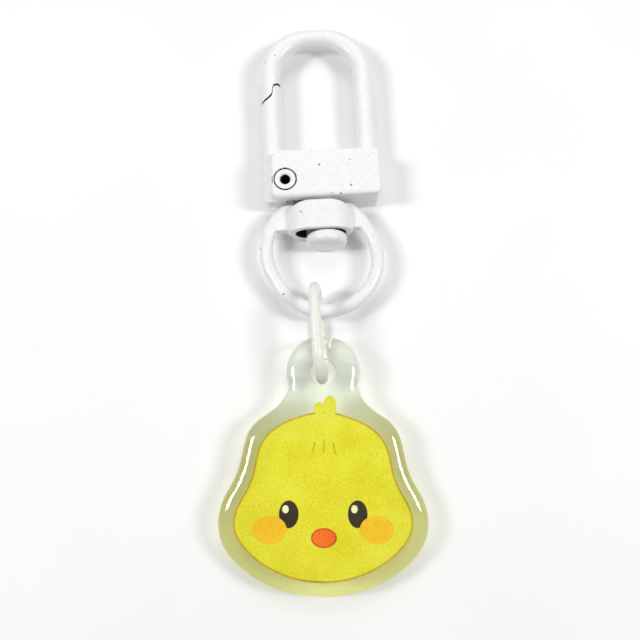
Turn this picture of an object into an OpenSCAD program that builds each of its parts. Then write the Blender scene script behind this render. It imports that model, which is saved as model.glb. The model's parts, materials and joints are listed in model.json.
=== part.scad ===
// Keychain: a swivel clasp, a jump ring and a domed acrylic charm, lying flat.
// The clasp points along +Y with its back on the plane z = 0. The origin is the centre
// of the base block's back face.

/* [Clasp] */
// Width of the clasp across its two arms
clasp_w = 19.4; // [19:0.01:20]
// Length of the base block along the clasp
block_l = 8; // [7.8:0.1:8.4]
// Thickness of the base block
block_t = 6.8; // [6.4:0.1:7.4]
// How far the gate stands proud of the block's left side
gate_proud = 1.4; // [1:0.1:1.6]
// Width of the round-sided bar, seen from the front
bar_w = 3.4; // [3.3:0.05:3.5]
// Thickness of the round-sided bar
bar_t = 2.8; // [2.7:0.1:2.9]
// Top of the arch above the block's centre
crown_y = 27.85; // [26:0.05:30]
// Outer radius of the arch's shoulders
shoulder_r = 8.2; // [7.8:0.05:9]

/* [Gate hinge] */
// Distance of the rivet from the block's left side
rivet_inset = 2.27; // [2.2:0.01:2.5]
// Height of the rivet above the block's bottom edge
rivet_up = 2.8; // [2.75:0.05:3]
// Radius of the rivet's barrel
rivet_r = 1.2; // [1.1:0.05:1.3]
// Radius of the rivet's flared ends
rivet_flange_r = 1.88; // [1.6:0.01:2]
// Radius of the hole through the rivet
rivet_hole_r = 0.82; // [0.5:0.01:0.9]
// Wire diameter of the gate spring
spring_wire = 0.3; // [0.25:0.01:0.32]
// Turns of the gate spring
spring_turns = 2.5; // [1.5:1:2.5]

/* [Swivel] */
// Radius of the swivel pin's shank
pin_r = 1.55; // [1.3:0.05:1.7]
// Radius of the swivel pin's head
pin_head_r = 3.38; // [3:0.02:3.38]
// Thickness of the swivel pin's head
pin_head_t = 2; // [1.7:0.05:2.2]
// Outer radius of the swivel ring's round ends
ring_r = 9.87; // [9.5:0.01:10.2]
// How much longer than wide the swivel ring is
ring_oval = 1.86; // [1:0.02:2]
// Wire diameter of the swivel ring
ring_wire = 2.26; // [2:0.02:2.5]
// Sideways offset of the ring's centre
ring_off = -0.55; // [-0.6:0.05:-0.4]
// Sideways offset of the swivel axis
pin_x = 0.36; // [0.2:0.02:0.4]
// Width of the collar
collar_w = 10.9; // [10:0.1:11]
// Length of the collar along the swivel axis
collar_l = 4.85; // [4.5:0.05:5]

/* [Jump ring] */
// Length of the oval jump ring
link_l = 16.5; // [16:0.1:17]
// Height of the oval jump ring
link_h = 10; // [9.8:0.1:10.4]
// Wire diameter of the jump ring
link_wire = 1.75; // [1.6:0.05:1.75]

/* [Charm] */
// Radius of the hole in the charm's tab
hole_r = 2.1; // [2.05:0.05:2.4]
// Radius of the tab round the hole
tab_r = 5.8; // [5:0.1:6]
// Thickness of the clear acrylic sheet
sheet_t = 2.8; // [2:0.1:3]
// Thickness of the domed resin at its middle
dome_t = 1.6; // [1.2:0.1:1.8]
// Thickness of one layer of ink
ink_t = 0.06; // [0.04:0.01:0.08]
// Width of the darker line round the printed head
edge_w = 0.3; // [0.2:0.05:0.5]

/* [Hidden] */
$fn = 64;
eps = 0.01;

// Clearances
running = 0.05;   // radial, gate on its rivet
swivel_fit = 0.07; // radial, ring on its pin
slot_gap = 0.08;  // each side of the gate in its slot
lap_gap = 0.3;    // between the gate's tip and the nose

// Clasp
mid_z = block_t / 2;
half_w = clasp_w / 2;
bar_x = half_w - bar_w / 2;
block_left = -half_w + gate_proud;
arch_y = crown_y - shoulder_r;
arch_x = half_w - shoulder_r;
back_round = 1.6;
front_round = 0.4;
edge_round = 0.6; // along the block's front bottom edge
lap_y = 16;
slot_t = bar_t + 2 * slot_gap;
slot_right = -2.9;

// Gate hinge
rivet_x = block_left + rivet_inset;
rivet_y = -block_l / 2 + rivet_up;
root_r = 2.7;
fork_r = 2.42;
fork_t = 1.6;
flange_t = 0.55;
coil_r = 1.75;
coil_pitch = 0.42;
coil_sides = 8;

// Swivel
swivel_gap = 0.9;
collar_top = -block_l / 2 - swivel_gap;
collar_low = collar_top - collar_l;
ring_y = -13.4;
ring_turn = 28;
web_t = 1.9;
web_low = -9.2;
ring_path_r = ring_r - ring_wire / 2;
cup_w = 8.4;
cup_t = 4.6;
cup_depth = 2.45;
pin_gap = 0.15;
pin_tail = 3;
pin_round = 0.8;

// Jump ring: plan angle, sideways lean and centre
link_yaw = 1.5;
link_lean = 5;
link_pos = [-1.72, -26.75, link_h / 2];
link_end_r = (link_h - link_wire) / 2;
link_straight = link_l - link_h;

// Charm: the hole's centre, the plane's slope and its turn
charm_pos = [-1.3, -33, 1.94];
charm_tilt = 3.3;
charm_turn = -2.7;
print_z = sheet_t;
dome_steps = 5;

// Right half of the clear outline below the tab, from the neck down to the chin
outline_half = [[5.6, -2.6], [6.6, -4.7], [8.5, -6.3], [10.4, -7.6], [11.7, -9.4], [12.4, -11.8],
                [12.9, -14.2], [13.8, -16.6], [15.1, -18.9], [15.95, -21.4], [15.95, -24.2],
                [14.9, -26.8], [12.8, -29.2], [9.8, -31.3], [6, -32.9], [2, -33.6]];
// Right half of the printed head, from the crown down to the chin
head_half = [[1.6, -6.25], [4, -6.9], [6.5, -7.95], [8.6, -9.5], [9.9, -11.5], [10.45, -13.6],
             [10.95, -15.9], [11.8, -18], [12.95, -20], [13.68, -22.2], [13.5, -24.3],
             [12.3, -26.3], [10.2, -28.3], [7.2, -30.1], [3.8, -31.25], [1, -31.6]];
// The lap joint's line between nose and gate, from the outside in
lap_line = [[-10.2, 13.7], [-9.2, 14.2], [-8.4, 14.7], [-7.85, 15.3], [-7.65, 16.1],
            [-7.45, 16.95], [-6.9, 17.25], [-6, 17.35]];

// Point at t between p1 and p2 on a smooth curve that also sees p0 and p3
function spline(p0, p1, p2, p3, t) =
    0.5 * (2 * p1 + (p2 - p0) * t + (2 * p0 - 5 * p1 + 4 * p2 - p3) * t * t
           + (3 * p1 - p0 - 3 * p2 + p3) * t * t * t);
// Smooth closed curve through points, with n points a span
function smooth_loop(pts, n = 4) =
    let (c = len(pts))
    [for (i = [0:c - 1]) for (k = [0:n - 1])
        spline(pts[(i + c - 1) % c], pts[i], pts[(i + 1) % c], pts[(i + 2) % c], k / n)];
// Smooth open curve through points
function smooth_line(pts, n = 4) =
    let (c = len(pts))
    concat([for (i = [0:c - 2]) for (k = [0:n - 1])
        spline(pts[max(i - 1, 0)], pts[i], pts[i + 1], pts[min(i + 2, c - 1)], k / n)],
        [pts[c - 1]]);
// Right half of an outline, then the same half mirrored back up
function mirrored(half) =
    concat(half, [for (i = [len(half) - 1:-1:0]) [-half[i][0], half[i][1]]]);
// Outline moved inwards by d; the points run clockwise
function inset(pts, d) =
    let (c = len(pts))
    [for (i = [0:c - 1])
        let (v = pts[(i + 1) % c] - pts[(i + c - 1) % c]) pts[i] + d * [v[1], -v[0]] / norm(v)];
function ellipse(x, y, rx, ry, n = 40) =
    [for (i = [0:n - 1]) [x + rx * cos(360 * i / n), y + ry * sin(360 * i / n)]];

clear_outline = smooth_loop(concat([for (a = [195:-15:-15]) tab_r * [cos(a), sin(a)]],
                                   mirrored(outline_half)), 3);
head_outline = smooth_loop(mirrored(head_half), 3);
tuft_big = ellipse(1.05, -5.35, 1.05, 1.75);
tuft_small = ellipse(-0.65, -5.75, 0.8, 1.15);

// Printed features: centres and half sizes
eye = [5.25, -21.6, 1.5, 2.05];
glint = [-0.5, 0.75, 0.5, 0.6];
cheek = [8.15, -23.9, 2.6, 2.1];
beak = [0.1, -25.1, 1.75, 1.25];
beak_line = 0.22;
stroke_r = 0.16;

// Section of the arms and gate: a flat bar with round sides, in X and Z
module bar_section() {
    side = (bar_w - bar_t) / 2;
    for (s = [-1, 1]) translate([s * side, 0]) circle(r = bar_t / 2);
    square([2 * side, bar_t], center = true);
}

// Straight bar along +Y
module bar(x, y0, y1) {
    translate([x, y0, mid_z]) rotate([-90, 0, 0]) linear_extrude(y1 - y0) bar_section();
}

// Flat shape in the middle plane, t thick
module mid_plate(t) {
    translate([0, 0, mid_z - t / 2]) linear_extrude(t) children();
}

// Cylinder along Z, centred on the middle plane
module mid_disc(x, y, r, t) {
    translate([x, y, mid_z - t / 2]) cylinder(r = r, h = t);
}

// Region beyond the lap line (side = 1) or before it (side = -1), moved off it by d
module lap_region(side, d) {
    line = [for (p = smooth_line(lap_line)) p + [0, side * d]];
    far = lap_y + side * 60;
    mid_plate(20) polygon(concat([[-10.2, far]], line, [[-4, line[len(line) - 1][1]], [-4, far]]));
}

// Section of the block across Y: soft back edges and crisper front ones
module block_section() {
    l = block_left;
    r = half_w;
    f = front_round;
    b = back_round;
    translate([l, b]) square([r - l, block_t - b - f]);
    translate([l + b, 0]) square([r - l - 2 * b, b]);
    translate([l + f, block_t - f]) square([r - l - 2 * f, f]);
    for (x = [l + b, r - b]) translate([x, b]) circle(r = b);
    for (x = [l + f, r - f]) translate([x, block_t - f]) circle(r = f);
}

// Face of the block: a chamfered quadrilateral, a little deeper at the gate's end, with
// the corner by the gate cut back round its swing
module block_face() {
    y = block_l / 2;
    l = block_left;
    r = half_w;
    polygon([[l, -y + 0.45], [l + 0.8, -y - 0.4], [r - 0.5, -y - 0.15], [r, -y + 0.3],
             [r, y - 1.3], [r - 0.25, y - 0.6], [r - 0.8, y - 0.25], [l + 1.6, y - 0.05],
             [l + 0.5, y - 0.6], [l, y - 1.6]]);
}

// Side view of the block in Y and Z, its front bottom edge rounded
module block_side() {
    e = edge_round;
    low = -block_l / 2 - 0.3;
    translate([low, 0]) square([block_l + 1, block_t - e]);
    translate([low + e, 0]) square([block_l + 1 - e, block_t]);
    translate([low + e, block_t - e]) circle(r = e);
}

module block() {
    intersection() {
        translate([0, block_l, 0]) rotate([90, 0, 0]) linear_extrude(2 * block_l) block_section();
        linear_extrude(block_t) block_face();
        translate([-half_w - 1, 0, 0]) rotate([90, 0, 90])
            linear_extrude(clasp_w + 2) block_side();
    }
}

// Block, fixed arm, arch and nose in one casting
module hook_body() {
    path_r = shoulder_r - bar_w / 2;
    color("white") difference() {
        union() {
            block();
            bar(bar_x, block_l / 2 - 1, arch_y);
            translate([arch_x, arch_y, mid_z])
                rotate_extrude(angle = 90) translate([path_r, 0]) bar_section();
            translate([-arch_x, crown_y - bar_w / 2, mid_z]) rotate([0, 90, 0])
                linear_extrude(2 * arch_x) rotate(90) bar_section();
            translate([-arch_x, arch_y, mid_z]) rotate([0, 0, 90])
                rotate_extrude(angle = 90) translate([path_r, 0]) bar_section();
            intersection() {
                bar(-bar_x, lap_y - 4, arch_y);
                lap_region(1, lap_gap / 2);
            }
        }
        // Slot for the gate's root, open at the left, top and bottom
        translate([-half_w - 1, -block_l, mid_z - slot_t / 2])
            cube([slot_right + half_w + 1, 2 * block_l, slot_t]);
        // Seat of the rivet
        mid_disc(rivet_x, rivet_y, rivet_r, block_t + 1);
        for (z = [-eps, block_t - flange_t])
            translate([rivet_x, rivet_y, z]) cylinder(r = rivet_flange_r, h = flange_t + eps);
        // Seat of the swivel pin
        translate([pin_x, -block_l / 2 - 1, mid_z])
            rotate([-90, 0, 0]) cylinder(r = pin_r, h = pin_tail + 1);
    }
}

// Gate: a bar whose root is a fork round the rivet
module gate() {
    heel = 0.9;
    low = -block_l / 2 - 0.3;
    color("white") difference() {
        union() {
            intersection() {
                bar(-bar_x, low, lap_y + 4);
                lap_region(-1, lap_gap / 2);
            }
            mid_plate(bar_t) {
                translate([rivet_x, rivet_y]) circle(r = root_r);
                polygon([[-bar_x, low], [rivet_x, low], [rivet_x, rivet_y + root_r],
                         [-bar_x + 1.2, rivet_y + root_r + 1.4], [-bar_x, rivet_y + root_r + 2]]);
            }
        }
        mid_disc(rivet_x, rivet_y, rivet_r + running, block_t);
        mid_disc(rivet_x, rivet_y, fork_r, fork_t);
        translate([rivet_x, rivet_y - fork_r, mid_z - fork_t / 2])
            cube([root_r + 1, 2 * fork_r, fork_t]);
        // Rounded heel
        mid_plate(block_t) difference() {
            translate([-half_w - 1, low - 1]) square([heel + 1, heel + 1]);
            translate([-half_w + heel, low + heel]) circle(r = heel);
        }
    }
}

// Tubular rivet with both ends flared into the cheeks
module gate_rivet() {
    color("white") translate([rivet_x, rivet_y, 0]) rotate_extrude() polygon([
        [rivet_hole_r, 0.25], [rivet_hole_r + 0.25, 0.05], [rivet_flange_r - 0.2, 0.05],
        [rivet_flange_r, 0.25], [rivet_flange_r, flange_t], [rivet_r, flange_t],
        [rivet_r, block_t - flange_t], [rivet_flange_r, block_t - flange_t],
        [rivet_flange_r, block_t - 0.2], [rivet_flange_r - 0.2, block_t],
        [rivet_hole_r + 0.25, block_t], [rivet_hole_r, block_t - 0.25]]);
}

// Points of the spring: a leg on the slot's wall, the coil, then a leg towards the gate
function spring_path() =
    let (n = 20 * spring_turns, h = coil_pitch * spring_turns)
    concat([[slot_right - rivet_x - 0.2, -coil_r, -h / 2], [0.6, -coil_r, -h / 2]],
           [for (i = [0:n]) let (a = -90 - 360 * spring_turns * i / n)
               [coil_r * cos(a), coil_r * sin(a), -h / 2 + h * i / n]],
           [[0.7, coil_r + 0.2, h / 2]]);

module gate_spring() {
    path = spring_path();
    c = len(path);
    r = spring_wire / 2;
    points = [for (i = [0:c - 1])
        let (v = path[min(i + 1, c - 1)] - path[max(i - 1, 0)], t = v / norm(v),
             u = cross([0, 0, 1], t) / norm(cross([0, 0, 1], t)), w = cross(t, u))
        for (k = [0:coil_sides - 1]) let (a = 360 * k / coil_sides)
            path[i] + r * (cos(a) * u + sin(a) * w)];
    sides = [for (i = [0:c - 2]) for (k = [0:coil_sides - 1]) let (m = (k + 1) % coil_sides)
        [i * coil_sides + k, (i + 1) * coil_sides + k, (i + 1) * coil_sides + m,
         i * coil_sides + m]];
    ends = [[for (k = [0:coil_sides - 1]) k],
            [for (k = [coil_sides - 1:-1:0]) (c - 1) * coil_sides + k]];
    color("silver") translate([rivet_x, rivet_y, mid_z])
        polyhedron(points = points, faces = concat(ends, sides));
}

// Mushroom pin: its tail is staked in the block, its head hangs below the collar
module swivel_pin() {
    head_top = collar_low - pin_gap;
    len = head_top + block_l / 2;
    head_low = head_top - pin_head_t;
    r = pin_head_r;
    e = pin_round;
    color("white") translate([pin_x, 0, mid_z]) rotate([-90, 0, 0]) rotate_extrude() union() {
        translate([0, head_low]) square([r - e, pin_head_t]);
        translate([0, head_low + e]) square([r, pin_head_t - 2 * e]);
        for (y = [head_low + e, head_top - e]) translate([r - e, y]) circle(r = e);
        translate([0, head_top - eps]) square([pin_r, -block_l / 2 + pin_tail - head_top]);
    }
}

// Rounded slab in X and Z: w wide, t thick
module slab_section(w, t) {
    side = (w - t) / 2;
    for (s = [-1, 1]) translate([s * side, 0]) circle(r = t / 2);
    square([2 * side, t], center = true);
}

// Oval loop of round wire in X and Y: two half rings of radius r and two straights
module oval(r, straight, wire) {
    for (s = [0, 1]) rotate(180 * s) {
        translate([0, straight / 2, 0])
            rotate_extrude(angle = 180) translate([r, 0]) circle(r = wire / 2);
        translate([r, -straight / 2, 0]) rotate([-90, 0, 0])
            cylinder(r = wire / 2, h = straight);
    }
}

// Barrel-shaped hollow collar, its section narrowed at both ends
module collar() {
    w = collar_w / 2;
    intersection() {
        translate([ring_off, collar_low, mid_z]) rotate([-90, 0, 0])
            linear_extrude(collar_l) slab_section(collar_w, block_t);
        translate([ring_off, 0, mid_z]) rotate([-90, 0, 0]) rotate_extrude() polygon([
            [0, collar_low], [w - 0.5, collar_low], [w - 0.1, collar_low + 0.3],
            [w + 0.1, collar_low + 1], [w + 0.1, collar_top - 2], [w - 0.3, collar_top - 0.9],
            [w - 0.9, collar_top - 0.3], [w - 1.6, collar_top], [0, collar_top]]);
    }
}

// Ring, collar and the web between them in one casting
module swivel_ring() {
    color("white") difference() {
        union() {
            intersection() {
                translate([ring_off, ring_y, mid_z]) rotate([0, 0, ring_turn]) {
                    oval(ring_path_r, ring_oval, ring_wire);
                    intersection() {
                        translate([0, 0, -web_t / 2]) linear_extrude(web_t) {
                            for (s = [-1, 1])
                                translate([0, s * ring_oval / 2]) circle(r = ring_path_r);
                            translate([-ring_path_r, -ring_oval / 2])
                                square([2 * ring_path_r, ring_oval]);
                        }
                        rotate([0, 0, -ring_turn]) translate([-15, web_low - ring_y, -web_t])
                            cube([30, 15, 2 * web_t]);
                    }
                }
                // Trims the ring level with the collar's top
                translate([-15, collar_top - 30, 0]) cube([30, 30, block_t]);
            }
            collar();
        }
        // Bore on the pin and the hollow below it
        translate([pin_x, collar_low - 1, mid_z])
            rotate([-90, 0, 0]) cylinder(r = pin_r + swivel_fit, h = collar_l + 2);
        translate([ring_off, collar_low - 1, mid_z]) rotate([-90, 0, 0])
            linear_extrude(cup_depth + 1) slab_section(cup_w, cup_t);
    }
}

// Oval ring of round wire that joins the swivel ring to the charm
module jump_ring() {
    color("white") translate(link_pos) rotate([0, 90 - link_lean, link_yaw])
        oval(link_end_r, link_straight, link_wire);
}

// Places the charm's own frame: the hole's centre, x to the right, y to the tab, z out
module charm_frame() {
    translate(charm_pos) rotate([charm_tilt, 0, 0]) rotate([0, 0, charm_turn]) children();
}

// A flat layer in the charm's frame
module layer(z, t) {
    charm_frame() translate([0, 0, z]) linear_extrude(t) children();
}

// The head's outline and its two tufts as one solid layer
module head_layer(z, t) {
    for (outline = [head_outline, tuft_big, tuft_small]) layer(z, t) polygon(outline);
}

module pair(e) {
    for (s = [-1, 1]) polygon(ellipse(s * e[0], e[1], e[2], e[3]));
}

module beak_shape(grow = 0) {
    polygon(ellipse(beak[0], beak[1], beak[2] + grow, beak[3] + grow));
}

// Three short strokes below the tuft
module stroke_shape() {
    for (i = [-1:1]) translate([i * 1.6 + 0.1, -11.4 - 0.35 * abs(i)]) rotate(i * 14) {
        square([2 * stroke_r, 1.7], center = true);
        for (y = [-0.85, 0.85]) translate([0, y]) circle(r = stroke_r);
    }
}

module glint_shape() {
    for (s = [-1, 1])
        polygon(ellipse(s * eye[0] + glint[0], eye[1] + glint[1], glint[2], glint[3]));
}

// Clear sheet with the tab
module charm_sheet() {
    color([0.9, 0.95, 0.85, 0.5]) difference() {
        layer(0, sheet_t) polygon(clear_outline);
        charm_frame() translate([0, 0, -1]) cylinder(r = hole_r, h = sheet_t + 2);
    }
}

// Clear domed resin on the sheet, over the print, its edge rounded in steps
module charm_dome() {
    straight = dome_t * 0.35;
    bulge = dome_t - straight;
    color([0.9, 0.95, 0.85, 0.5]) difference() {
        union() {
            layer(sheet_t, straight) polygon(clear_outline);
            for (i = [1:dome_steps]) let (a = 90 * i / dome_steps)
                layer(sheet_t, straight + bulge * sin(a))
                    polygon(inset(clear_outline, bulge * (1 - cos(a - 45 / dome_steps))));
        }
        head_layer(print_z - 1, 1 + 2 * ink_t);
        charm_frame() cylinder(r = hole_r, h = sheet_t + dome_t + 1);
        charm_frame() translate([0, 0, sheet_t + dome_t - 0.5])
            cylinder(r1 = hole_r, r2 = hole_r + 0.5, h = 0.5 + eps);
    }
}

// White ink under the colours
module print_base() {
    color("white") head_layer(print_z, ink_t);
}

// Yellow of the head, between the features
module print_head() {
    color("yellow") difference() {
        union() {
            layer(print_z + ink_t, ink_t) polygon(inset(head_outline, edge_w));
            for (outline = [tuft_big, tuft_small]) layer(print_z + ink_t, ink_t) polygon(outline);
        }
        layer(print_z, 1) {
            pair(cheek);
            pair(eye);
            beak_shape(beak_line);
            stroke_shape();
        }
    }
}

// Golden line round the head
module print_edge() {
    color("goldenrod") difference() {
        layer(print_z + ink_t, ink_t) polygon(head_outline);
        for (outline = [inset(head_outline, edge_w), tuft_big, tuft_small])
            layer(print_z, 1) polygon(outline);
    }
}

module print_cheeks() {
    color("orange") layer(print_z + ink_t, ink_t) pair(cheek);
}

module print_eyes() {
    color([0.2, 0.1, 0.06]) difference() {
        layer(print_z + ink_t, ink_t) pair(eye);
        layer(print_z, 1) {
            pair(cheek);
            glint_shape();
        }
    }
}

module print_glints() {
    color("ivory") layer(print_z + ink_t, ink_t) glint_shape();
}

module print_beak() {
    color("orangered") layer(print_z + ink_t, ink_t) beak_shape();
}

module print_beak_edge() {
    color("firebrick") difference() {
        layer(print_z + ink_t, ink_t) beak_shape(beak_line);
        layer(print_z, 1) beak_shape();
    }
}

module print_strokes() {
    color("goldenrod") layer(print_z + ink_t, ink_t) stroke_shape();
}

hook_body();
gate();
gate_rivet();
gate_spring();
swivel_pin();
swivel_ring();
jump_ring();
charm_sheet();
charm_dome();
print_base();
print_head();
print_edge();
print_cheeks();
print_eyes();
print_glints();
print_beak();
print_beak_edge();
print_strokes();
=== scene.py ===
# %% [markdown]
# # A keychain: swivel clasp, jump ring and domed acrylic charm
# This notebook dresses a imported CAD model. The CAD model says where every piece is and how
# it moves, and this file gives each piece its final surface and finish. It starts by
# loading the model, because all positions below are read from it.

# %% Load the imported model
import bpy, json, math
from mathutils import Matrix, Vector

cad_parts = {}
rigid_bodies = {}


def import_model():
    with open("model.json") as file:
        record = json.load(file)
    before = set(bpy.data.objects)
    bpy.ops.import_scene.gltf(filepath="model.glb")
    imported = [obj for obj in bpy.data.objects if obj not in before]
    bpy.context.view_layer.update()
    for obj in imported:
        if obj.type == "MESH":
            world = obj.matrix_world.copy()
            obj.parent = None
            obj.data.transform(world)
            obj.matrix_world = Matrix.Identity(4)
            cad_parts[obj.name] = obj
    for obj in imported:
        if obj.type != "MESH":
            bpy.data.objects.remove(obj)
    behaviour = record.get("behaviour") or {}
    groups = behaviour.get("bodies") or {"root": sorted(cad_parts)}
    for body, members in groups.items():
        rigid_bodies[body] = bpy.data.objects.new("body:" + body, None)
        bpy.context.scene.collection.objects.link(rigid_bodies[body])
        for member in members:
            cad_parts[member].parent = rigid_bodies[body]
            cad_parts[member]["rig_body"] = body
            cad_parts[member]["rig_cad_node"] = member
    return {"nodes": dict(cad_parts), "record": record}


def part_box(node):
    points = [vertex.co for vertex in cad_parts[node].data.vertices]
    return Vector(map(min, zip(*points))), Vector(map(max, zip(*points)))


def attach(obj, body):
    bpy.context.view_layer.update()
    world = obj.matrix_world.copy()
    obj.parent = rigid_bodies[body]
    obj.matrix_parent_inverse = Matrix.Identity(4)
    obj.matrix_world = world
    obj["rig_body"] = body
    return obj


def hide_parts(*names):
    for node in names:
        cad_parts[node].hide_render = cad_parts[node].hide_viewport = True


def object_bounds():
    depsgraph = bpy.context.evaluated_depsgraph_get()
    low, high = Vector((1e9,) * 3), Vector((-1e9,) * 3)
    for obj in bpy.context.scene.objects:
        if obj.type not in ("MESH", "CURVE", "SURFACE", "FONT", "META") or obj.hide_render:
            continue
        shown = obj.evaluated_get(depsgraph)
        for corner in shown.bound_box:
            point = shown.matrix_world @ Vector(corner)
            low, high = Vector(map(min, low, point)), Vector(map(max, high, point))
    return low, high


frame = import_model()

MM = 0.001
nodes = frame["nodes"]
cad_box = [list(corner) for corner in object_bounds()]
print("CAD box in mm:", [[round(v / MM, 2) for v in corner] for corner in cad_box])


def select_only(*objects):
    """Deselects everything, then selects these objects and makes the first one active."""
    bpy.ops.object.select_all(action="DESELECT")
    for obj in objects:
        obj.select_set(True)
    bpy.context.view_layer.objects.active = objects[0]


# %% [markdown]
# ## The camera
# The keychain lies flat and is seen from almost straight above, a little from the charm's
# side, with a normal lens about 11 cm away. The camera is made first, so that every later
# step can be judged in its view. It turns a little round the vertical, which makes the
# clasp lean to the left while the charm stands upright.

# %% Camera
VIEW_TURN = math.radians(2.7)
VIEW_TILT = math.radians(11.5)
VIEW_DISTANCE = 110 * MM
LENS = 38.05
look_at = Vector((-1.38, -24.36, 3.2)) * MM

view_up = Vector((math.sin(VIEW_TURN), math.cos(VIEW_TURN), 0))
view_back = Vector((0, 0, math.cos(VIEW_TILT))) - view_up * math.sin(VIEW_TILT)
view_right = Vector((math.cos(VIEW_TURN), -math.sin(VIEW_TURN), 0))
bpy.ops.object.camera_add(location=look_at + view_back * VIEW_DISTANCE)
camera = bpy.context.object
axes = Matrix((view_right, view_back.cross(view_right), view_back)).transposed()
camera.rotation_euler = axes.to_euler()
camera.data.lens = LENS
camera.data.clip_start = 5 * MM
bpy.context.scene.camera = camera
print("camera at", [round(v / MM, 1) for v in camera.location], "mm")

# %% [markdown]
# ## Floor and light
# A white sweep and soft light from everywhere make the paper-white surroundings. Two small
# softboxes, left and right, add the pair of soft shadows beside each piece and the long
# bright streaks along the charm's rounded edge. A third one behind the clasp leaves the
# faces that look towards the charm a little darker. The standard view transform keeps white
# paper white and the print's yellow pure.


# %% Colour and node helpers
def linear(hex_colour):
    """An sRGB hex colour as a linear RGBA tuple."""
    values = [int(hex_colour[i:i + 2], 16) / 255 for i in (1, 3, 5)]
    return (*[v / 12.92 if v <= 0.04045 else ((v + 0.055) / 1.055) ** 2.4 for v in values], 1)


def add_node(tree, kind, links=None, **settings):
    """Adds a node. Settings are its properties, or its inputs by name with _ for a space.
    links maps an input's name or number to the socket that feeds it."""
    node = tree.nodes.new(kind)
    for name, value in settings.items():
        if hasattr(node, name):
            setattr(node, name, value)
        else:
            node.inputs[name.replace("_", " ")].default_value = value
    for name, socket in (links or {}).items():
        tree.links.new(socket, node.inputs[name])
    return node


def new_material(name):
    """An empty node material and its tree, coordinates and output."""
    material = bpy.data.materials.new(name)
    material.use_nodes = True
    tree = material.node_tree
    tree.nodes.clear()
    place = add_node(tree, "ShaderNodeTexCoord").outputs["Object"]
    output = add_node(tree, "ShaderNodeOutputMaterial")
    return material, tree, place, output


def finish_surface(tree, output, shader):
    tree.links.new(shader.outputs[0], output.inputs["Surface"])


def ramp(tree, source, stops):
    """A colour ramp with (position, hex colour) stops."""
    node = add_node(tree, "ShaderNodeValToRGB", {"Fac": source})
    while len(node.color_ramp.elements) < len(stops):
        node.color_ramp.elements.new(0.5)
    for element, (position, colour) in zip(node.color_ramp.elements, stops):
        element.position = position
        element.color = linear(colour)
    return node.outputs["Color"]


# %% Floor, lights and world
FLOOR_SIZE = 3.0
FLOOR_GAP = 0.02 * MM
SOFTBOX = (0.075, 0.1)
SOFTBOX_DISTANCE = 0.36
SOFTBOX_POWER = 0.56
SOFTBOX_HEIGHT = math.radians(48)
BACK_SIZE = 0.2
BACK_DISTANCE = 0.4
BACK_POWER = 0.36
BACK_HEIGHT = math.radians(52)
ROOM_LIGHT = 0.3

paper, tree, place, output = new_material("white_paper")
mottle = add_node(tree, "ShaderNodeTexNoise", {"Vector": place}, Scale=1 / (40 * MM), Detail=2.0)
whites = ramp(tree, mottle.outputs["Fac"], [(0.3, "#f1f1f1"), (0.7, "#f4f4f4")])
shader = add_node(tree, "ShaderNodeBsdfPrincipled", {"Base Color": whites}, Roughness=0.9)
finish_surface(tree, output, shader)

bpy.ops.mesh.primitive_plane_add(size=FLOOR_SIZE, location=(0, 0, cad_box[0][2] - FLOOR_GAP))
floor = bpy.context.object
floor.name = "floor"
floor.data.materials.append(paper)



def add_softbox(direction, distance, size, power):
    """A rectangular area light that looks at the middle of the view."""
    bpy.ops.object.light_add(type="AREA", location=look_at + direction * distance)
    softbox = bpy.context.object
    softbox.data.shape = "RECTANGLE"
    softbox.data.size, softbox.data.size_y = size
    softbox.data.energy = power
    softbox.rotation_euler = direction.to_track_quat("Z", "Y").to_euler()


up = Vector((0, 0, 1))
for side in (-1, 1):
    aside = view_right * (side * math.cos(SOFTBOX_HEIGHT)) + up * math.sin(SOFTBOX_HEIGHT)
    add_softbox(aside, SOFTBOX_DISTANCE, SOFTBOX, SOFTBOX_POWER)
behind = view_up * math.cos(BACK_HEIGHT) + up * math.sin(BACK_HEIGHT)
add_softbox(behind, BACK_DISTANCE, (BACK_SIZE, BACK_SIZE), BACK_POWER)

world = bpy.data.worlds.new("soft_studio")
world.use_nodes = True
world.node_tree.nodes["Background"].inputs["Color"].default_value = linear("#ffffff")
world.node_tree.nodes["Background"].inputs["Strength"].default_value = ROOM_LIGHT
bpy.context.scene.world = world
bpy.context.scene.view_settings.view_transform = "Standard"
print("two side softboxes, one behind and a white room")

# %% [markdown]
# ## Finishes
# The clasp is die-cast zinc under a white powder coat. Powder coat is thick and levels as
# it melts: it gives soft edges, a faint orange-peel ripple about half a millimetre long,
# and a satin gloss. A cheap casting also shows grey specks where dirt or bare metal comes
# through, so the coat has sparse specks up to a quarter of a millimetre across.


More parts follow.
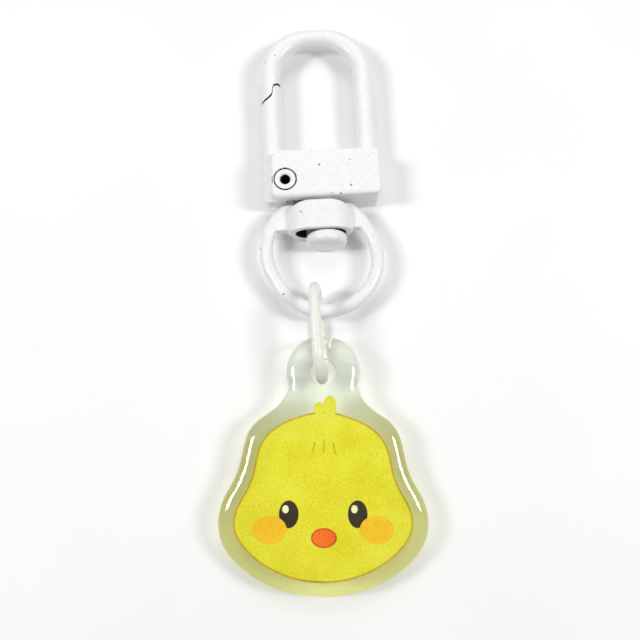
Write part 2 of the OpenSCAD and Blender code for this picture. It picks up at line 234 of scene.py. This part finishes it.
# %% White coats
def white_coat(name, colour, light, roughness, speck_gap, speck_size):
    """White powder coat or enamel with an orange-peel ripple and sparse grey specks."""
    material, tree, place, output = new_material(name)
    peel = add_node(tree, "ShaderNodeTexNoise", {"Vector": place}, Scale=1 / (0.55 * MM), Detail=2.0)
    warp = add_node(tree, "ShaderNodeTexNoise", {"Vector": place}, Scale=1 / (0.25 * MM), Detail=1.0)
    bent = add_node(tree, "ShaderNodeMix", {6: place, 7: warp.outputs["Color"]},
                    data_type="RGBA", blend_type="ADD")
    bent.inputs[0].default_value = 0.3 * MM
    cells = add_node(tree, "ShaderNodeTexVoronoi", {"Vector": bent.outputs[2]},
                     Scale=1 / (speck_gap * MM))
    shade = add_node(tree, "ShaderNodeSeparateColor", {0: cells.outputs["Color"]})
    limit = add_node(tree, "ShaderNodeMath", {0: shade.outputs[0]}, operation="MULTIPLY_ADD")
    limit.inputs[1].default_value = 2.5 * speck_size / speck_gap
    limit.inputs[2].default_value = -1.5 * speck_size / speck_gap  # most cells stay clean
    speck = add_node(tree, "ShaderNodeMath", {0: cells.outputs["Distance"], 1: limit.outputs[0]},
                     operation="LESS_THAN")
    tone = add_node(tree, "ShaderNodeTexNoise", {"Vector": place}, Scale=1 / (0.6 * MM), Detail=6.0,
                    Roughness=0.65)
    base = ramp(tree, tone.outputs["Fac"], [(0.36, colour), (0.56, light)])
    worn = add_node(tree, "ShaderNodeMix", {0: speck.outputs[0], 6: base}, data_type="RGBA")
    worn.inputs[7].default_value = linear("#8e9092")
    height = add_node(tree, "ShaderNodeMath", {0: peel.outputs["Fac"], 1: speck.outputs[0]},
                      operation="SUBTRACT")
    bump = add_node(tree, "ShaderNodeBump", {"Height": height.outputs[0]},
                    Strength=0.35, Distance=0.02 * MM)
    shader = add_node(tree, "ShaderNodeBsdfPrincipled",
                      {"Base Color": worn.outputs[2], "Normal": bump.outputs[0]},
                      Roughness=roughness, IOR=1.5)
    finish_surface(tree, output, shader)
    return material


powder_coat = white_coat("white_powder_coat", "#e4e5e7", "#ececed", 0.35, 1.7, 0.26)
enamel = white_coat("white_enamel", "#e2e3da", "#ecece4", 0.28, 2.6, 0.12)

# %% [markdown]
# The lap joint, the seat and bore of the rivet and the cup of the collar get a near-black
# material: painted shade for the shade that falls into these narrow gaps.

# %% Painted shade in the gaps
painted_gap_shade, tree, place, output = new_material("painted_shade_near_black")
# painted shade: near-black greys with a faint mottle, put where the narrow gaps hold shade
shade_mottle = add_node(tree, "ShaderNodeTexNoise", {"Vector": place}, Scale=1 / (0.5 * MM), Detail=3.0)
shade_greys = ramp(tree, shade_mottle.outputs["Fac"], [(0.3, "#17171c"), (0.7, "#2a2b33")])
shader = add_node(tree, "ShaderNodeBsdfPrincipled", {"Base Color": shade_greys},
                  Roughness=0.7, Metallic=0.3)
finish_surface(tree, output, shader)

# %% [markdown]
# The spring inside the slot is bright drawn steel wire. Drawing leaves fine lines along
# the wire, too fine to see here, so a little
# roughness noise stands in for them.

# %% Spring steel
spring_steel, tree, place, output = new_material("drawn_spring_steel")
lines = add_node(tree, "ShaderNodeTexNoise", {"Vector": place}, Scale=1 / (0.08 * MM))
rough = add_node(tree, "ShaderNodeMapRange", {"Value": lines.outputs["Fac"]}, To_Min=0.25, To_Max=0.45)
shader = add_node(tree, "ShaderNodeBsdfPrincipled", {"Roughness": rough.outputs[0]},
                  Base_Color=linear("#b9bcc0"), Metallic=1.0)
finish_surface(tree, output, shader)

# %% [markdown]
# The charm is printed with UV ink between a cast acrylic sheet and a domed resin face. The
# ink is laid down in fine dots, so its colour is grainy at about a fifth of a millimetre,
# with a slower drift across the print. One function makes every ink from three tones.


# %% Inks
def ink(name, deep, middle, light, grain=0.2, roughness=0.45):
    material, tree, place, output = new_material(name)
    dots = add_node(tree, "ShaderNodeTexNoise", {"Vector": place}, Scale=1 / (grain * MM),
                    Detail=3.0, Roughness=0.7)
    drift = add_node(tree, "ShaderNodeTexNoise", {"Vector": place}, Scale=1 / (6 * MM), Detail=2.0)
    both = add_node(tree, "ShaderNodeMix", {2: dots.outputs["Fac"], 3: drift.outputs["Fac"]})
    both.inputs[0].default_value = 0.3
    colour = ramp(tree, both.outputs[0], [(0.4, deep), (0.5, middle), (0.6, light)])
    shader = add_node(tree, "ShaderNodeBsdfPrincipled", {"Base Color": colour}, Roughness=roughness)
    finish_surface(tree, output, shader)
    return material


yellow_ink = ink("yellow_uv_ink", "#ded400", "#ebe522", "#f3f062")
gold_ink = ink("gold_uv_ink", "#b08c10", "#c9a81c", "#dcc13a")
cheek_ink = ink("apricot_uv_ink", "#f4b400", "#fcc80c", "#ffd83a")
dark_ink = ink("brown_black_uv_ink", "#0c0402", "#160804", "#241008")
stroke_ink = ink("pale_gold_uv_ink", "#c4b416", "#d2c420", "#dccf3c")
beak_ink = ink("orange_uv_ink", "#f05a00", "#ff7004", "#ff8a1e")
beak_line_ink = ink("red_orange_uv_ink", "#c22c00", "#d63c02", "#e65010")
white_ink = ink("white_uv_ink", "#f2f2ee", "#fbfbf8", "#ffffff")

# %% [markdown]
# Cast acrylic and the resin over it have nearly the same index, about 1.49, so light
# passes from one to the other without a visible joint. Real clear plastic also lets light
# through to the table, which a path tracer finds slowly. So shadow rays go straight through
# it and lose part of their light, which keeps the soft shadow round the charm. The yellow
# light that the print throws into the clear margin is painted in: a painted glow tints the
# clear body and fades out towards the tab, following the distance down the charm.

# %% Clear acrylic
# painted glow: a yellow tint of the clear body near the print stands in for the print's light in the
# margin
PAINTED_MARGIN_GLOW = "#f8f6c6"
CLEAR = "#fbfdfb"
clear_acrylic, tree, place, output = new_material("clear_cast_acrylic")
along = add_node(tree, "ShaderNodeSeparateXYZ", {0: place})
glow_fade = add_node(tree, "ShaderNodeMapRange", {"Value": along.outputs["Y"]},
                From_Min=-36 * MM, From_Max=-44 * MM)
painted_glow_colour = ramp(tree, glow_fade.outputs[0], [(0.0, CLEAR), (1.0, PAINTED_MARGIN_GLOW)])
glass = add_node(tree, "ShaderNodeBsdfPrincipled", {"Base Color": painted_glow_colour},
                 Roughness=0.02, IOR=1.49, Transmission_Weight=1.0)
through = add_node(tree, "ShaderNodeBsdfTransparent")
through.inputs["Color"].default_value = linear("#b2b8a6")
path = add_node(tree, "ShaderNodeLightPath")
mix = add_node(tree, "ShaderNodeMixShader",
               {0: path.outputs["Is Shadow Ray"], 1: glass.outputs[0], 2: through.outputs[0]})
finish_surface(tree, output, mix)


# %% [markdown]
# ## The castings
# The hook, the gate and the swivel ring are castings under thick paint. Their true forms
# are the CAD solids, but paint rounds every edge and fills every corner. A copy of each
# solid is remeshed into small even cells and smoothed a few times, which melts the edges
# by about a tenth of a millimetre, as the coat does.


# %% Coated casting from a CAD solid
def copy_of(node, name):
    """A copy of a CAD node's mesh with its doubled points merged, and edit mode left."""
    obj = nodes[node].copy()
    obj.data = nodes[node].data.copy()
    obj.parent = None
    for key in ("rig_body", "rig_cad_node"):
        if key in obj:
            del obj[key]
    obj.name = name
    obj.data.materials.clear()
    bpy.context.scene.collection.objects.link(obj)
    select_only(obj)
    bpy.ops.object.mode_set(mode="EDIT")
    bpy.ops.mesh.select_all(action="SELECT")
    bpy.ops.mesh.remove_doubles(threshold=0.001 * MM)
    bpy.ops.object.mode_set(mode="OBJECT")
    return obj


def apply_modifier(obj, kind, **settings):
    select_only(obj)
    modifier = obj.modifiers.new(kind.lower(), kind)
    for name, value in settings.items():
        setattr(modifier, name, value)
    bpy.ops.object.modifier_apply(modifier=modifier.name)


def dress(obj, node, material):
    """Smooth shading, material and the ties to the model."""
    obj.data.materials.clear()
    obj.data.materials.append(material)
    select_only(obj)
    bpy.ops.object.shade_smooth()
    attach(obj, body_of_node[node])
    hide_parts(node)
    print(obj.name, len(obj.data.polygons), "faces")


def painted_shade(obj, wanted):
    """Gives the near-black painted gap shade to the faces for which wanted(centre in mm, normal) is
    true.
    """
    if len(obj.data.materials) == 1:
        obj.data.materials.append(painted_gap_shade)
    count = 0
    for face in obj.data.polygons:
        if wanted(face.center / MM, face.normal):
            face.material_index = 1
            count += 1
    print(obj.name, "bare faces:", count)


def radius_from(axis_point, centre):
    """Distance, in mm, from an axis along Z."""
    return math.hypot(centre.x - axis_point[0], centre.y - axis_point[1])


joint_of = {j["name"]: j for j in frame["record"]["behaviour"]["joints"]}
body_of_node = {n: body for body, members in frame["record"]["behaviour"]["bodies"].items()
                for n in members}


def coated_casting(node, name, cell, passes):
    obj = copy_of(node, name)
    apply_modifier(obj, "REMESH", mode="VOXEL", voxel_size=cell * MM)
    apply_modifier(obj, "SMOOTH", factor=0.5, iterations=passes)
    return obj


# %% Hook body
hook = coated_casting("hook_body", "hook_casting", 0.12, 3)

# %% [markdown]
# The bar is thinner at the crown than along the arms. The casting's points there are moved
# upwards in code: all the way at the crown's inner side, not at all at its outer side, and
# less and less towards the shoulders. A lattice could do the same, but this says exactly
# how far each point moves.

# %% Thinner crown
CROWN_THINNER = 0.62 * MM
BAR_WIDTH = 3.4 * MM
CROWN_REACH = 5.2 * MM  # sideways from the middle
CROWN_DEPTH = 2.4  # bar widths below the top, where nothing moves any more
crown_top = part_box("hook_body")[1].y
for vertex in hook.data.vertices:
    aside = vertex.co.x / CROWN_REACH
    down = (crown_top - vertex.co.y) / BAR_WIDTH
    if abs(aside) < 1 and down < CROWN_DEPTH:
        depth = min(1, max(0, down))
        below = min(1, max(0, 2 - down))
        vertex.co.y += CROWN_THINNER * depth * below * (1 - aside ** 2) ** 2
dress(hook, "hook_body", powder_coat)

# %% Gate
gate = coated_casting("gate", "gate_casting", 0.09, 3)
dress(gate, "gate", powder_coat)

# %% Swivel ring
ring = coated_casting("swivel_ring", "swivel_ring_casting", 0.11, 10)
dress(ring, "swivel_ring", powder_coat)
# the faces inside the collar's cup get the near-black painted shade
CUP = ((-4.75, 3.65), (-9.62, -7.0), (1.15, 5.65))  # mm
painted_shade(ring, lambda c, n: all(lo < v < hi for v, (lo, hi) in zip(c, CUP)))

# %% Swivel pin
pin = coated_casting("swivel_pin", "swivel_pin_turned", 0.08, 3)
dress(pin, "swivel_pin", powder_coat)

# %% Gate rivet
rivet = coated_casting("gate_rivet", "gate_rivet_flared", 0.06, 2)
dress(rivet, "gate_rivet", powder_coat)
rivet_axis = [v / MM for v in joint_of["gate_hinge"]["pos_m"][:2]]
BORE, FLANGE, LINE = 0.85, 1.8, 0.2  # mm
BORE_STEEP, RIM_STEEP, SEAT_STEEP = 0.6, 0.75, 0.9  # a face is steep below this normal.z
SEAT_LOW = 6  # mm
# the rivet's bore, the rim of its flange and the seat round it on the hook get the near-black painted
# shade
painted_shade(rivet, lambda c, n: radius_from(rivet_axis, c) < BORE and abs(n.z) < BORE_STEEP
     or radius_from(rivet_axis, c) > FLANGE - LINE and abs(n.z) < RIM_STEEP)
painted_shade(hook, lambda c, n: FLANGE < radius_from(rivet_axis, c) < FLANGE + 2 * LINE
     and n.z < SEAT_STEEP and c.z > SEAT_LOW)

# %% [markdown]
# The nose and the gate meet in an S-shaped lap. Each casting's faces that look across the
# gap at the other one are found by their distance to it, and get painted shade for the dark gap.

# %% Lap joint
LAP_BOX = ((-10.5, -5.5), (12.5, 18.5))
LAP_REACH = 0.45  # mm
LAP_FACING = 0.7  # cosine of the widest angle between a face and the gap it looks into


def faces_the_lap(other):
    """A test for faces that look at the other casting across the lap joint."""
    def wanted(c, n):
        if not all(lo < v < hi for v, (lo, hi) in zip(c, LAP_BOX)):
            return False
        found, point, _, _ = other.closest_point_on_mesh(c * MM)
        gap = point / MM - c
        return found and gap.length < LAP_REACH and gap.dot(n) > LAP_FACING * gap.length
    return wanted


# painted shade: the faces inside the lap joint get the near-black material
painted_shade(gate, faces_the_lap(hook))
painted_shade(hook, faces_the_lap(gate))

# %% Jump ring
link = coated_casting("jump_ring", "jump_ring_wire", 0.08, 2)
dress(link, "jump_ring", enamel)

# %% [markdown]
# ## The clear charm
# The sheet and the resin dome are bonded, so they show as one clear body. Its outline is
# the CAD sheet's own lower face. The face is extruded straight up for the cut edge, then
# inset in small steps that rise less and less, which is how a resin dome rounds off at
# its rim. The tab's hole is cut last, with a cylinder.

# %% Clear body
charm_normal = Vector(joint_of["charm_swing"]["axis"]).normalized()
hole_centre = Vector(joint_of["charm_swing"]["pos_m"])
HOLE_RADIUS = 2.1 * MM
HOLE_SEARCH = 1.1  # the hole's own points lie within this many radii
FACING = 0.99  # cosine: nearly square to the charm
CHARM_THICKNESS = 4.36 * MM
EDGE_ROUND = 1.25 * MM
EDGE_INSET = 2.1 * MM
ROUND_STEPS = 9



def select_faces(obj, wanted):
    """Selects, in edit mode, the faces for which wanted(face) is true."""
    bpy.ops.mesh.select_mode(type="FACE")
    bpy.ops.mesh.select_all(action="DESELECT")
    bpy.ops.object.mode_set(mode="OBJECT")
    for face in obj.data.polygons:
        face.select = wanted(face)
    bpy.ops.object.mode_set(mode="EDIT")


clear = copy_of("charm_sheet", "charm_clear_body")
bpy.ops.object.mode_set(mode="EDIT")
select_faces(clear, lambda face: face.normal.dot(charm_normal) > -FACING)
bpy.ops.mesh.delete(type="FACE")
bpy.ops.mesh.select_mode(type="EDGE")
bpy.ops.mesh.select_all(action="DESELECT")
bpy.ops.mesh.select_non_manifold()
bpy.ops.object.mode_set(mode="OBJECT")
for vertex in clear.data.vertices:
    offset = vertex.co - hole_centre
    flat = offset - charm_normal * offset.dot(charm_normal)
    vertex.select = flat.length < HOLE_SEARCH * HOLE_RADIUS
for edge in clear.data.edges:
    edge.select = all(clear.data.vertices[v].select for v in edge.vertices)
bpy.ops.object.mode_set(mode="EDIT")
bpy.ops.mesh.edge_face_add()
bpy.ops.mesh.select_mode(type="FACE")
bpy.ops.mesh.select_all(action="SELECT")
bpy.ops.mesh.dissolve_faces()
bpy.ops.mesh.select_all(action="SELECT")
print("outline:", len(clear.data.polygons), "faces")

# %% Cut edge and domed rim
wall = charm_normal * (CHARM_THICKNESS - EDGE_ROUND)
bpy.ops.mesh.extrude_region_move(TRANSFORM_OT_translate={"value": wall})
for step in range(ROUND_STEPS):
    a0, a1 = [math.pi / 2 * (step + k) / ROUND_STEPS for k in (0, 1)]
    inward = EDGE_INSET * (math.cos(a0) - math.cos(a1))
    rise = EDGE_ROUND * (math.sin(a1) - math.sin(a0))
    bpy.ops.mesh.inset(thickness=inward, depth=0)
    bpy.ops.transform.translate(value=charm_normal * rise)
bpy.ops.mesh.select_all(action="SELECT")
bpy.ops.mesh.normals_make_consistent(inside=False)
bpy.ops.object.mode_set(mode="OBJECT")
print("domed body:", len(clear.data.polygons), "faces")

# %% Hole in the tab
bpy.ops.mesh.primitive_cylinder_add(vertices=96, radius=HOLE_RADIUS, depth=3 * CHARM_THICKNESS,
                                    location=hole_centre)
cutter = bpy.context.object
cutter.rotation_euler = charm_normal.to_track_quat("Z", "Y").to_euler()
apply_modifier(clear, "BOOLEAN", operation="DIFFERENCE", solver="EXACT", object=cutter)
bpy.data.objects.remove(cutter)
dress(clear, "charm_sheet", clear_acrylic)
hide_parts("charm_dome")
select_only(clear)
bpy.ops.object.shade_smooth_by_angle(angle=math.radians(35))

# %% [markdown]
# ## The print and the spring
# These stay as the CAD solids, because each is a thin flat layer or a wire whose shape is
# already right. Only their materials change.

# %% Inks and steel on the CAD solids
finishes = {
    "gate_spring": spring_steel, "print_base": white_ink, "print_head": yellow_ink,
    "print_edge": gold_ink, "print_cheeks": cheek_ink, "print_eyes": dark_ink,
    "print_glints": white_ink, "print_beak": beak_ink, "print_beak_edge": beak_line_ink,
    "print_strokes": stroke_ink,
}
for name, material in finishes.items():
    for place_in_node in nodes[name].material_slots:
        place_in_node.material = material
print("finished", len(finishes), "CAD pieces")
